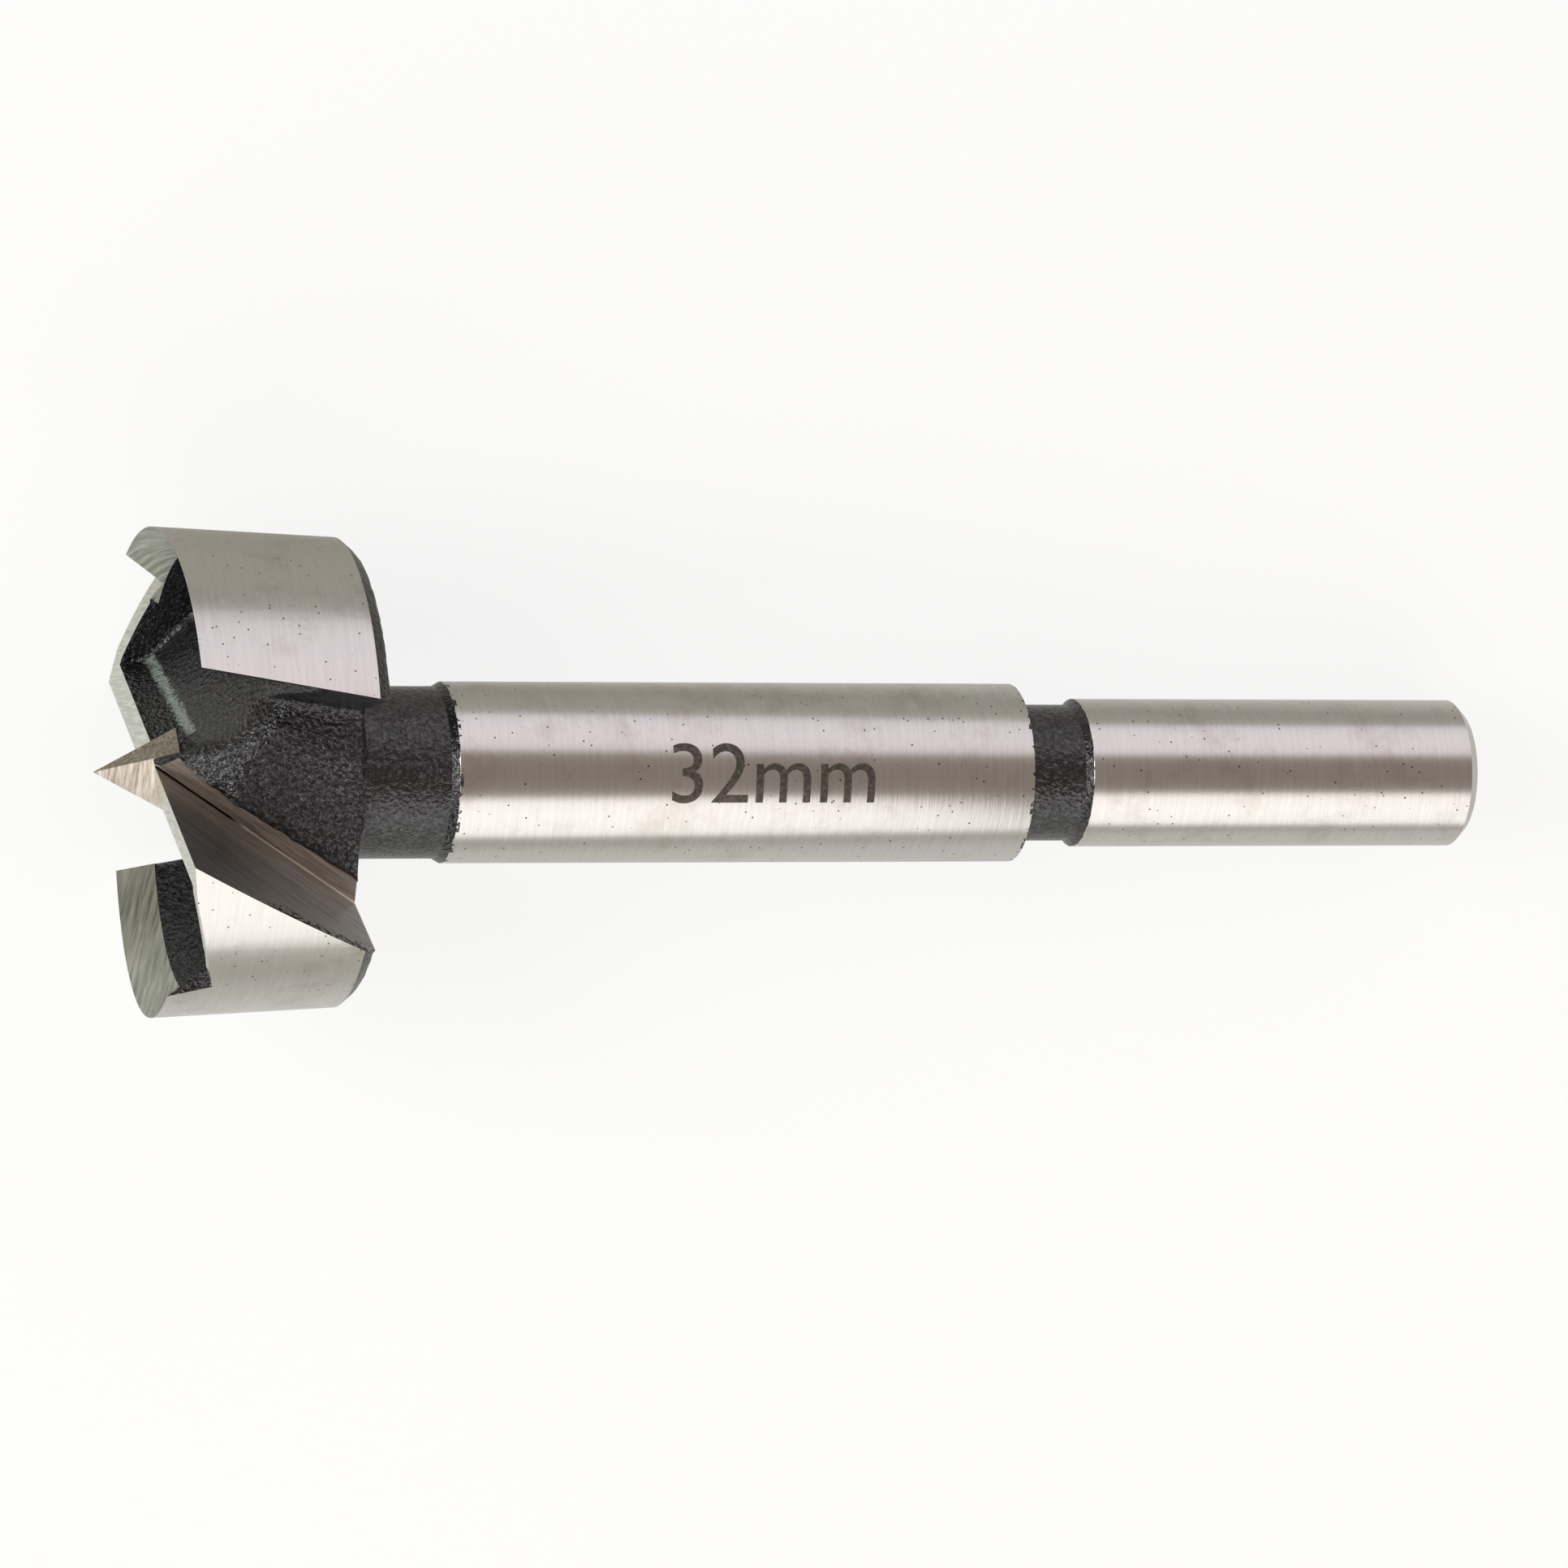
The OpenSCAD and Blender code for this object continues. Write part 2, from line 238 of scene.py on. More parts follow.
def makeTurnedSteel():
    look = turnedSteel
    material, tree = newMaterial("groundToolSteel")
    place = alongBit(tree)
    rings = addNode(tree, "ShaderNodeMapping", {
        "Vector": place, "Scale": (1 / look["ringWidth"], 1 / look["ringLength"], 1 / look["ringLength"]),
    })
    ring = addNode(tree, "ShaderNodeTexNoise", {
        "Vector": rings.outputs["Vector"], "Scale": 1.0, "Detail": 3.0, "Roughness": 0.6,
    })
    ringShade = addNode(tree, "ShaderNodeMapRange", {
        "Value": ring.outputs["Fac"], "From Min": look["ringRange"][0], "From Max": look["ringRange"][1],
    })
    stains = addNode(tree, "ShaderNodeTexNoise", {
        "Vector": place, "Scale": 1 / look["stainWidth"], "Detail": 6.0, "Roughness": 0.65,
    })
    stain = addNode(tree, "ShaderNodeMapRange", {
        "Value": stains.outputs["Fac"], "To Max": look["stainShare"],
        "From Min": look["stainRange"][0], "From Max": look["stainRange"][1],
    })
    pits = addNode(tree, "ShaderNodeTexVoronoi", {
        "Vector": place, "Scale": 1 / look["pitSpacing"], "Randomness": 1.0,
    })
    pitSize = look["pitWidth"] / look["pitSpacing"] / 2
    pit = addNode(tree, "ShaderNodeMapRange", {
        "Value": pits.outputs["Distance"], "From Min": pitSize * look["pitFloor"], "From Max": pitSize,
        "To Min": 1.0, "To Max": 0.0,
    })
    # The coat fills the neck and the groove up to the ground cylinders, with an edge that wanders
    axes = addNode(tree, "ShaderNodeSeparateXYZ", {"Vector": place})
    inRange = []
    for start, end in (
        (bit["headHeight"] - look["spill"], bodyStart + look["spill"]),
        (grooveStart - look["spill"], shankStart + look["lip"]),
    ):
        inRange.append(addNode(tree, "ShaderNodeMath", {
            0: axes.outputs["X"], 1: (start + end) / 2, 2: (end - start) / 2,
        }, operation="COMPARE").outputs[0])
    reach = addNode(tree, "ShaderNodeMath", {0: inRange[0], 1: inRange[1]}, operation="MAXIMUM")
    aside = addNode(tree, "ShaderNodeCombineXYZ", {"X": axes.outputs["Y"], "Y": axes.outputs["Z"]})
    radius = addNode(tree, "ShaderNodeVectorMath", {0: aside.outputs["Vector"]}, operation="LENGTH")
    onShank = addNode(tree, "ShaderNodeMath", {
        0: axes.outputs["X"], 1: (grooveStart + shankStart) / 2,
    }, operation="GREATER_THAN")
    ground = addNode(tree, "ShaderNodeMath", {
        0: onShank.outputs[0], 1: bit["shankRadius"] - bit["bodyRadius"],
        2: bit["bodyRadius"] - look["edgeDrop"],
    }, operation="MULTIPLY_ADD")
    wander = addNode(tree, "ShaderNodeTexNoise", {
        "Vector": place, "Scale": 1 / look["edgeStep"], "Detail": 3.0, "Roughness": 0.65,
    })
    stray = addNode(tree, "ShaderNodeMath", {
        0: wander.outputs["Fac"], 1: 2 * look["edgeWander"], 2: -look["edgeWander"],
    }, operation="MULTIPLY_ADD")
    edge = addNode(tree, "ShaderNodeMath", {0: ground.outputs[0], 1: stray.outputs[0]}, operation="ADD")
    inside = addNode(tree, "ShaderNodeMath", {
        0: radius.outputs["Value"], 1: edge.outputs[0],
    }, operation="LESS_THAN")
    coated = addNode(tree, "ShaderNodeMath", {
        0: inside.outputs[0], 1: reach.outputs[0],
    }, operation="MULTIPLY")

    # The coat's bumps carry painted glints
    peel, paintedHighlight, gleam = addPeel(tree, place, look["specular"])
    coat = addNode(tree, "ShaderNodeMix", {
        0: paintedHighlight, 6: linear(look["coat"]), 7: linear(coatPeel["glint"]),
    }, data_type="RGBA")
    steel = addNode(tree, "ShaderNodeMix", {
        0: ringShade.outputs["Result"], 6: linear(look["steel"]), 7: linear(look["steelShade"]),
    }, data_type="RGBA")
    stained = addNode(tree, "ShaderNodeMix", {
        0: stain.outputs["Result"], 6: steel.outputs[2], 7: linear(look["stain"]),
    }, data_type="RGBA")
    pitted = addNode(tree, "ShaderNodeMix", {
        0: pit.outputs["Result"], 6: stained.outputs[2], 7: linear(look["pit"]),
    }, data_type="RGBA")
    colour = addNode(tree, "ShaderNodeMix", {
        0: coated.outputs[0], 6: pitted.outputs[2], 7: coat.outputs[2],
    }, data_type="RGBA")
    metal = addNode(tree, "ShaderNodeMath", {0: 1.0, 1: coated.outputs[0]}, operation="SUBTRACT")
    gloss = addNode(tree, "ShaderNodeMix", {
        0: coated.outputs[0], 2: look["roughness"], 3: look["coatRoughness"],
    })
    # Rings on the steel, orange peel on the coat
    relief = addNode(tree, "ShaderNodeMix", {
        0: coated.outputs[0], 2: ring.outputs["Fac"], 3: peel,
    })
    ringHeight = addNode(tree, "ShaderNodeMapRange", {
        "Value": axes.outputs["X"], "From Min": bit["headHeight"], "From Max": bodyStart,
        "To Min": look["ringDepth"] * look["headRings"], "To Max": look["ringDepth"],
    })
    height = addNode(tree, "ShaderNodeMix", {
        0: coated.outputs[0], 2: ringHeight.outputs["Result"], 3: look["peelDepth"],
    })
    tall = addNode(tree, "ShaderNodeMath", {
        0: relief.outputs[0], 1: height.outputs[0],
    }, operation="MULTIPLY")
    bump = addNode(tree, "ShaderNodeBump", {"Height": tall.outputs[0], "Distance": micron, "Strength": 1.0})
    shader = addNode(tree, "ShaderNodeBsdfPrincipled", {
        "Base Color": colour.outputs[2], "Metallic": metal.outputs[0], "Roughness": gloss.outputs[0],
        "Specular IOR Level": gleam, "Normal": bump.outputs["Normal"],
    })
    endMaterial(tree, shader)
    return material


# Drop-forged steel under a baked black coat: lumpy like orange peel and half glossy.
# Along the crease behind each cutter a ragged grey-green highlight is painted where the rounded corner
# catches the light
forgedBlack = {
    "coat": "#08070a",
    # painted light on the peel's bumps, against painted shade in its hollows
    "thinAndLit": "#1f1d22",
    "thinAndLitRange": (0.36, 0.64),
    # painted highlight along the crease's rounded corner
    "worn": "#8d9a95",
    "roughness": 0.26,
    "specular": (0.5, 0.9),     # in the hollows of the peel and on its bumps
    "peelDepth": 210.0,     # micrometres
    "lumpWidth": 2.4,       # mm
    "lumpDepth": 120.0,     # micrometres
    "wornHalf": 0.22,       # mm to either side of the crease
    "wornSoft": 0.3,        # share of that over which its edge fades
    "wornRagged": 0.25,     # mm
    "wornFrom": -14.0,      # mm along the edge, where the line starts and stops
    "wornTo": -1.8,
}


def makeForgedBlack():
    look = forgedBlack
    material, tree = newMaterial("blackForgedSteel")
    place = alongBit(tree)
    # Painted glints on the tops of the peel's bumps
    peel, paintedHighlight, gleam = addPeel(tree, place, look["specular"])
    lump = addNode(tree, "ShaderNodeTexNoise", {
        "Vector": place, "Scale": 1 / look["lumpWidth"], "Detail": 2.0,
    })
    # Painted shade and light: the coat is darker in the peel's hollows and lighter on its bumps
    peelShade = addNode(tree, "ShaderNodeMapRange", {
        "Value": peel, "From Min": look["thinAndLitRange"][0], "From Max": look["thinAndLitRange"][1],
    })
    whole = addNode(tree, "ShaderNodeMix", {
        0: peelShade.outputs["Result"], 6: linear(look["coat"]), 7: linear(look["thinAndLit"]),
    }, data_type="RGBA")
    coat = addNode(tree, "ShaderNodeMix", {
        0: paintedHighlight, 6: whole.outputs[2], 7: linear(coatPeel["glint"]),
    }, data_type="RGBA")

    # The crease lies where the cutter's back and the pocket's floor meet, and a highlight is painted along
    # it
    folded = foldedBit(tree, place, "Y")
    gaps = []
    for way, spot in creasePlanes:
        gap = offPlane(tree, folded, way, float(way @ spot))
        gaps.append(addNode(tree, "ShaderNodeMath", {0: gap}, operation="ABSOLUTE").outputs[0])
    gap = addNode(tree, "ShaderNodeMath", {0: gaps[0], 1: gaps[1]}, operation="MAXIMUM")
    ragged = addNode(tree, "ShaderNodeMath", {
        0: peel, 1: look["wornRagged"] * 2, 2: -look["wornRagged"],
    }, operation="MULTIPLY_ADD")
    edge = addNode(tree, "ShaderNodeMath", {0: gap.outputs[0], 1: ragged.outputs[0]}, operation="ADD")
    across = addNode(tree, "ShaderNodeMapRange", {
        "Value": edge.outputs[0], "From Min": look["wornHalf"] * (1 + look["wornSoft"]),
        "From Max": look["wornHalf"] * (1 - look["wornSoft"]),
    })
    along = addNode(tree, "ShaderNodeSeparateXYZ", {"Vector": folded})
    reach = addNode(tree, "ShaderNodeMath", {
        0: along.outputs["X"], 1: (look["wornFrom"] + look["wornTo"]) / 2,
        2: (look["wornTo"] - look["wornFrom"]) / 2,
    }, operation="COMPARE")
    worn = addNode(tree, "ShaderNodeMath", {
        0: across.outputs["Result"], 1: reach.outputs[0],
    }, operation="MULTIPLY")
    # Painted highlight along the crease
    colour = addNode(tree, "ShaderNodeMix", {
        0: worn.outputs[0], 6: coat.outputs[2], 7: linear(look["worn"]),
    }, data_type="RGBA")

    coarse = addNode(tree, "ShaderNodeBump", {
        "Height": lump.outputs["Fac"], "Distance": look["lumpDepth"] * micron,
    })
    bump = addNode(tree, "ShaderNodeBump", {
        "Height": peel, "Distance": look["peelDepth"] * micron,
        "Normal": coarse.outputs["Normal"],
    })
    shader = addNode(tree, "ShaderNodeBsdfPrincipled", {
        "Base Color": colour.outputs[2], "Metallic": 0.0, "Roughness": look["roughness"],
        "Specular IOR Level": gleam, "Normal": bump.outputs["Normal"],
    })
    endMaterial(tree, shader)
    return material


# Wheel-ground cutting faces. Each keeps straight lines along the way its wheel ran, given along the edge,
# the way it cuts and towards the tip. They are drawn a little wider than the real ones so that they show.
# Line depths are in micrometres, the other lengths and heights in millimetres
groundFaces = {
    "flank": {
        "name": "groundFlankSteel", "pale": "#ecede4", "dark": "#bfc1b7",
        "lines": (1.0, 0.5, 0.0), "lineWidth": 0.2, "lineDepth": 12.0, "roughness": 0.36,
    },
    "rake": {
        "name": "groundRakeSteel", "pale": "#d4d0cb", "dark": "#9b9792", "crease": stepPlane,
        "specks": {"colour": "#1d1a18", "width": 0.3, "reach": 2.2, "below": -5.0, "range": (0.44, 0.76)},
        "matt": {"share": 0.35, "from": -3.0, "to": -9.0},
        "lines": creaseWay, "lineWidth": 0.2, "lineDepth": 9.0, "roughness": 0.4,
    },
    "step": {
        "name": "groundStepSteel", "pale": "#ddd3ca", "dark": "#a0978f", "crease": rakePlane,
        "lines": creaseWay, "lineWidth": 0.2, "lineDepth": 9.0, "roughness": 0.42,
    },
    "bevel": {
        "name": "groundRimSteel", "pale": "#c2c3b7", "dark": "#83867a",
        "lines": (1.0, -0.28, 0.0), "lineWidth": 0.26, "lineDepth": 22.0, "roughness": 0.36,
        "round": True,
    },
    "point": {
        "name": "groundPointSteel", "pale": "#dcd4c8", "dark": "#8f8578",
        "lines": (0.0, 1.0, 0.0), "lineWidth": 0.22, "lineDepth": 12.0, "roughness": 0.34,
    },
}
wheelLines = {
    "stretch": 16,          # how many times longer than wide a line is
    "range": (0.32, 0.68),
}
crease = {
    "scaleAndShade": "#2a2623",     # painted shade in the front of the corner where two wheels met
    "paintedHighlight": "#fffaf2",    # and a painted highlight along the corner behind it
    "width": 0.09,          # mm
    "change": -5.2,         # mm, height at which the one gives way to the other
    "fade": 0.5,            # mm to either side of that
}


def makeGroundFace(look):
    material, tree = newMaterial(look["name"])
    place = alongBit(tree)
    folded = foldedBit(tree, place, "Z")
    if look.get("round"):
        # On the rim the pattern runs round the bit: X is the arc, Y the depth
        axes = addNode(tree, "ShaderNodeSeparateXYZ", {"Vector": place})
        angle = addNode(tree, "ShaderNodeMath", {
            0: axes.outputs["Y"], 1: axes.outputs["Z"],
        }, operation="ARCTAN2")
        arc = addNode(tree, "ShaderNodeMath", {
            0: angle.outputs[0], 1: bit["headRadius"],
        }, operation="MULTIPLY")
        folded = addNode(tree, "ShaderNodeCombineXYZ", {
            "X": arc.outputs[0], "Y": axes.outputs["X"],
        }).outputs["Vector"]
    turn = Vector(look["lines"]).to_track_quat("X", "Z").inverted().to_euler()
    level = addNode(tree, "ShaderNodeMapping", {"Vector": folded, "Rotation": turn})
    fine = 1 / look["lineWidth"]
    across = addNode(tree, "ShaderNodeMapping", {
        "Vector": level.outputs["Vector"], "Scale": (fine / wheelLines["stretch"], fine, fine),
    })
    line = addNode(tree, "ShaderNodeTexNoise", {
        "Vector": across.outputs["Vector"], "Scale": 1.0, "Detail": 3.0, "Roughness": 0.65,
    })
    shade = addNode(tree, "ShaderNodeMapRange", {
        "Value": line.outputs["Fac"], "From Min": wheelLines["range"][0], "From Max": wheelLines["range"][1],
    })
    colour = addNode(tree, "ShaderNodeMix", {
        0: shade.outputs["Result"], 6: linear(look["dark"]), 7: linear(look["pale"]),
    }, data_type="RGBA")
    if "crease" in look:
        # Painted shade in the front of the corner between two ground faces, and a painted highlight behind
        # it
        gap = offPlane(tree, folded, *look["crease"])
        ragged = addNode(tree, "ShaderNodeMath", {
            0: line.outputs["Fac"], 1: crease["width"] * 2,
        }, operation="MULTIPLY")
        corner = addNode(tree, "ShaderNodeMath", {0: gap, 1: ragged.outputs[0]}, operation="LESS_THAN")
        axes = addNode(tree, "ShaderNodeSeparateXYZ", {"Vector": folded})
        front = addNode(tree, "ShaderNodeMapRange", {
            "Value": axes.outputs["Z"],
            "From Min": crease["change"] - crease["fade"], "From Max": crease["change"] + crease["fade"],
        })
        paintedCreaseLight = addNode(tree, "ShaderNodeMix", {
            0: front.outputs["Result"], 6: linear(crease["paintedHighlight"]), 7: linear(crease["scaleAndShade"]),
        }, data_type="RGBA")
        colour = addNode(tree, "ShaderNodeMix", {
            0: corner.outputs[0], 6: colour.outputs[2], 7: paintedCreaseLight.outputs[2],
        }, data_type="RGBA")
    if "specks" in look:
        # Forging scale that the wheel missed, along the rear of the face's outer edge
        specks = look["specks"]
        spots = addNode(tree, "ShaderNodeTexNoise", {
            "Vector": folded, "Scale": 1 / specks["width"], "Detail": 3.0, "Roughness": 0.6,
        })
        aside = addNode(tree, "ShaderNodeVectorMath", {0: folded, 1: (1, 1, 0)}, operation="MULTIPLY")
        radius = addNode(tree, "ShaderNodeVectorMath", {0: aside.outputs["Vector"]}, operation="LENGTH")
        outer = addNode(tree, "ShaderNodeMath", {
            0: axes.outputs["Z"], 1: math.tan(math.radians(bit["headTaper"])), 2: bit["headRadius"],
        }, operation="MULTIPLY_ADD")
        inset = addNode(tree, "ShaderNodeMath", {
            0: outer.outputs[0], 1: radius.outputs["Value"],
        }, operation="SUBTRACT")
        near = addNode(tree, "ShaderNodeMapRange", {
            "Value": inset.outputs[0], "From Min": 0.0, "From Max": specks["reach"],
            "To Min": specks["range"][0], "To Max": specks["range"][1],
        })
        spot = addNode(tree, "ShaderNodeMath", {
            0: spots.outputs["Fac"], 1: near.outputs["Result"],
        }, operation="GREATER_THAN")
        rear = addNode(tree, "ShaderNodeMath", {
            0: axes.outputs["Z"], 1: specks["below"],
        }, operation="LESS_THAN")
        scaleAndShade = addNode(tree, "ShaderNodeMath", {
            0: spot.outputs[0], 1: rear.outputs[0],
        }, operation="MULTIPLY")
        colour = addNode(tree, "ShaderNodeMix", {
            0: scaleAndShade.outputs[0], 6: colour.outputs[2], 7: linear(specks["colour"]),
        }, data_type="RGBA")
    metal = 1.0
    if "matt" in look:
        # Towards the rear the chips polish the face less, so it scatters more light
        metal = addNode(tree, "ShaderNodeMapRange", {
            "Value": axes.outputs["Z"], "From Min": look["matt"]["from"], "From Max": look["matt"]["to"],
            "To Min": 1.0, "To Max": 1 - look["matt"]["share"],
        }).outputs["Result"]
    bump = addNode(tree, "ShaderNodeBump", {
        "Height": line.outputs["Fac"], "Distance": look["lineDepth"] * micron,
    })
    shader = addNode(tree, "ShaderNodeBsdfPrincipled", {
        "Base Color": colour.outputs[2], "Metallic": metal,
        "Roughness": look["roughness"], "Normal": bump.outputs["Normal"],
    })
    endMaterial(tree, shader)
    return material


# Row frame in metres to the bit's own frame in millimetres: X along the near edge, Z towards the tip
bitAxes = np.array([edgeWay, cutWay, -shankWay])


def toBit(points):
    return (np.asarray(points) - np.array(rimCentre)) / mm @ bitAxes.T


def fromBit(points):
    return np.asarray(points) @ bitAxes * mm + np.array(rimCentre)


# The blank's radius at a height on the axis: the head's wall, and the neck behind it
def turnedRadius(height):
    if height > -bit["headHeight"] + bit["wallEnd"]:
        return bit["headRadius"] + height * math.tan(math.radians(bit["headTaper"]))
    return bit["neckRadius"]


zoneNames = ["turned", "black", "flank", "rake", "step", "bevel", "point"]
zoneLimits = {
    "alike": 0.999,         # cosine between two ways that count as one
    "wallOutward": 0.95,    # cosine between a turned wall's way and the radius
    "wallGap": 0.12,        # mm between a facet's middle and the round wall
    "pointRadius": 2.6,     # mm, as are those below unless they say otherwise
    "pointFoot": -1.6,
    "pointGap": 0.03,
    "stubRadius": 4.0,      # ground stubs beside the point
    "stubFoot": -3.0,
    "bevelRadius": 12.4,
    "bevelFoot": -4.0,
    "bevelOutward": -0.6,   # cosine to the radius
    "bevelRise": 0.35,      # cosine to the axis
}


# Which finish a face of the bit has, from where it lies and which way it looks
def zoneOf(centre, normal):
    limit = zoneLimits
    height = centre[2]
    radius = math.hypot(centre[0], centre[1])
    if height < -bit["headHeight"] - hair:
        return "turned"
    outward = (normal[0] * centre[0] + normal[1] * centre[1]) / max(radius, hair)
    if outward > limit["wallOutward"] and abs(radius - turnedRadius(height)) < limit["wallGap"]:
        return "turned"
    offPoint = abs(normal @ (np.array((0, 0, bit["pointHeight"])) - centre))
    if radius < limit["pointRadius"] and height > limit["pointFoot"] and offPoint < limit["pointGap"]:
        return "point"
    onStub = radius < limit["stubRadius"] and height > limit["stubFoot"]
    for half in (1, -1):
        way = normal * np.array((half, half, 1))
        if max(way @ flankWay for flankWay in flankWays) > limit["alike"]:
            return "flank"
        if way @ rakeWay > limit["alike"]:
            return "rake"
        if way @ stepWay > limit["alike"]:
            return "step"
        if onStub and (way @ rakeWay < -limit["alike"] or way[1] > limit["alike"]):
            return "step"
    onRim = radius > limit["bevelRadius"] and height > limit["bevelFoot"]
    if onRim and outward < limit["bevelOutward"] and normal[2] > limit["bevelRise"]:
        return "bevel"
    return "black"


# The whole bit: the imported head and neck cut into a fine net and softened,
# and a finer turned body behind them
dressing = {
    "netStep": 0.5,         # mm between the cuts of the net
    "netSnap": 0.03,        # mm
    "weld": 0.002,          # mm
    "flatAngle": 0.3,       # degrees between facets that count as one flat
    "wallSnap": 0.06,       # mm within which a point moves onto the round wall
    "neckEnd": 0.1,         # mm of the neck's back end that isn't softened
    "softenPasses": 5,
    "softenShare": 0.5,
    "sharpAngle": 24.0,     # degrees
    "turns": 240,           # facets round the turned body
    "edgeRound": 0.06,      # mm, worn roundness of the body's back corner
    "cornerCut": 0.3,       # share of that at the middle of the round
    "grooveFillet": 0.15,   # mm
    "neckFlare": 0.5,       # mm, where the neck widens to the body
    "seam": 0.15,           # share of that flare that joins the head's net to the turned body
    "shankChamfer": 0.65,   # mm
    "shankLip": 0.3,        # mm
    "endTrim": 0.001,       # mm, keeps the shank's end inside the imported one
}


# Radius and height of the turned body's corners, from the neck back to the shank's end
def turnedOutline():
    look = dressing
    end = shankStart + bit["shankLength"] - look["endTrim"]
    edge = look["edgeRound"]
    cut = edge * look["cornerCut"]
    fillet = look["grooveFillet"]
    flare = bit["bodyRadius"] - bit["neckRadius"]
    return [
        (bit["neckRadius"] + flare * look["seam"], -bodyStart + look["neckFlare"] * (1 - look["seam"])),
        (bit["bodyRadius"], -bodyStart),
        (bit["bodyRadius"], -grooveStart + edge),
        (bit["bodyRadius"] - cut, -grooveStart + cut),
        (bit["bodyRadius"] - edge, -grooveStart),
        (bit["grooveRadius"] + fillet, -grooveStart),
        (bit["grooveRadius"], -grooveStart - fillet),
        (bit["grooveRadius"], -shankStart + fillet),
        (bit["shankRadius"] - look["shankLip"], -shankStart),
        (bit["shankRadius"], -shankStart - look["shankLip"]),
        (bit["shankRadius"], -end + look["shankChamfer"]),
        (bit["shankRadius"] - look["shankChamfer"], -end),
        (0.0, -end),
    ]


# Turns an outline of radii and heights round the Z axis, with one point where it meets that axis
def addLathe(work, outline, turns):
    angles = [math.tau * k / turns for k in range(turns)]
    rows = []
    for radius, height in outline:
        if radius == 0:
            rows.append([work.verts.new((0, 0, height))] * turns)
            continue
        rows.append([work.verts.new((radius * math.cos(a), radius * math.sin(a), height)) for a in angles])
    faces = []
    for first, second in zip(rows, rows[1:]):
        for k in range(turns):
            corners = [first[k - 1], second[k - 1], second[k], first[k]]
            faces.append(work.faces.new(list(dict.fromkeys(corners))))
    return faces


def makeBit():
    look = dressing
    cadNode = frame["nodes"]["boring_bit"]
    cutter = bmesh.new()
    cutter.from_mesh(cadNode.data)
    for vert, place in zip(cutter.verts, toBit([v.co for v in cutter.verts])):
        vert.co = place
    bmesh.ops.remove_doubles(cutter, verts=cutter.verts, dist=look["weld"])
    cutter.normal_update()
    flareTop = -bodyStart + look["neckFlare"]
    behind = [f for f in cutter.faces if f.calc_center_median().z < flareTop - hair]
    bmesh.ops.delete(cutter, geom=behind, context="FACES")
    for face in cutter.faces:
        centre = np.array(face.calc_center_median())
        face.material_index = zoneNames.index(zoneOf(centre, np.array(face.normal)))
    bmesh.ops.dissolve_limit(
        cutter, angle_limit=math.radians(look["flatAngle"]),
        verts=cutter.verts, edges=cutter.edges, delimit={"MATERIAL"},
    )
    step = look["netStep"]
    reach = bit["headRadius"]
    for way, low, high in ((0, -reach, reach), (1, -reach, reach), (2, flareTop, bit["pointHeight"])):
        normal = [0, 0, 0]
        normal[way] = 1
        for k in range(1, math.ceil((high - low) / step)):
            spot = [0, 0, 0]
            spot[way] = low + k * step
            bmesh.ops.bisect_plane(
                cutter, geom=cutter.verts[:] + cutter.edges[:] + cutter.faces[:],
                dist=look["netSnap"], plane_co=spot, plane_no=normal,
            )
    bmesh.ops.triangulate(cutter, faces=cutter.faces)
    print("head cut into a net of", len(cutter.faces), "faces")

    cutter.verts.index_update()
    places = np.array([v.co for v in cutter.verts])
    black = zoneNames.index("black")
    turned = zoneNames.index("turned")
    free = np.zeros(len(places), bool)
    for vert in cutter.verts:
        x, y, z = places[vert.index]
        zones = {f.material_index for f in vert.link_faces}
        radius = math.hypot(x, y)
        if turned in zones and z > flareTop and abs(radius - turnedRadius(z)) < look["wallSnap"]:
            places[vert.index, :2] *= turnedRadius(z) / radius
        inNeck = flareTop + look["neckEnd"] < z < -bit["headHeight"] + hair and radius < bit["bodyRadius"]
        free[vert.index] = zones == {black} or (inNeck and zones <= {black, turned})

    # Forging leaves no sharp inside corner, so the black hollows relax between their ground borders
    ends = np.array([(e.verts[0].index, e.verts[1].index) for e in cutter.edges])
    ends = np.concatenate([ends, ends[:, ::-1]])
    count = np.bincount(ends[:, 0], minlength=len(places))[:, None]
    for _ in range(look["softenPasses"]):
        middle = np.zeros_like(places)
        np.add.at(middle, ends[:, 0], places[ends[:, 1]])
        middle /= np.maximum(count, 1)
        places[free] += look["softenShare"] * (middle - places)[free]
    for vert, place in zip(cutter.verts, places):
        vert.co = place

    # The turned body joins the net's open end
    added = addLathe(cutter, turnedOutline(), look["turns"])
    rims = [e for e in cutter.edges if e.is_boundary]
    added += bmesh.ops.bridge_loops(cutter, edges=rims)["faces"]
    for face in added:
        face.material_index = turned
    bmesh.ops.recalc_face_normals(cutter, faces=cutter.faces)
    cutter.normal_update()
    sharp = math.radians(look["sharpAngle"])
    for face in cutter.faces:
        face.smooth = True
    for edge in cutter.edges:
        zones = [f.material_index for f in edge.link_faces]
        edge.smooth = edge.calc_face_angle(0.0) < sharp or zones == [black, black]
    for vert, place in zip(cutter.verts, fromBit([v.co for v in cutter.verts])):
        vert.co = place
    mesh = bpy.data.meshes.new("boringBit")
    cutter.to_mesh(mesh)
    cutter.free()
    mesh.materials.append(makeTurnedSteel())
    mesh.materials.append(makeForgedBlack())
    for zone in zoneNames[2:]:
        mesh.materials.append(makeGroundFace(groundFaces[zone]))
    piece = bpy.data.objects.new("boringBit", mesh)
    bpy.context.scene.collection.objects.link(piece)
    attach(piece, "root")
    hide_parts("boring_bit")
    print("bit dressed with", len(mesh.polygons), "faces")


makeBit()

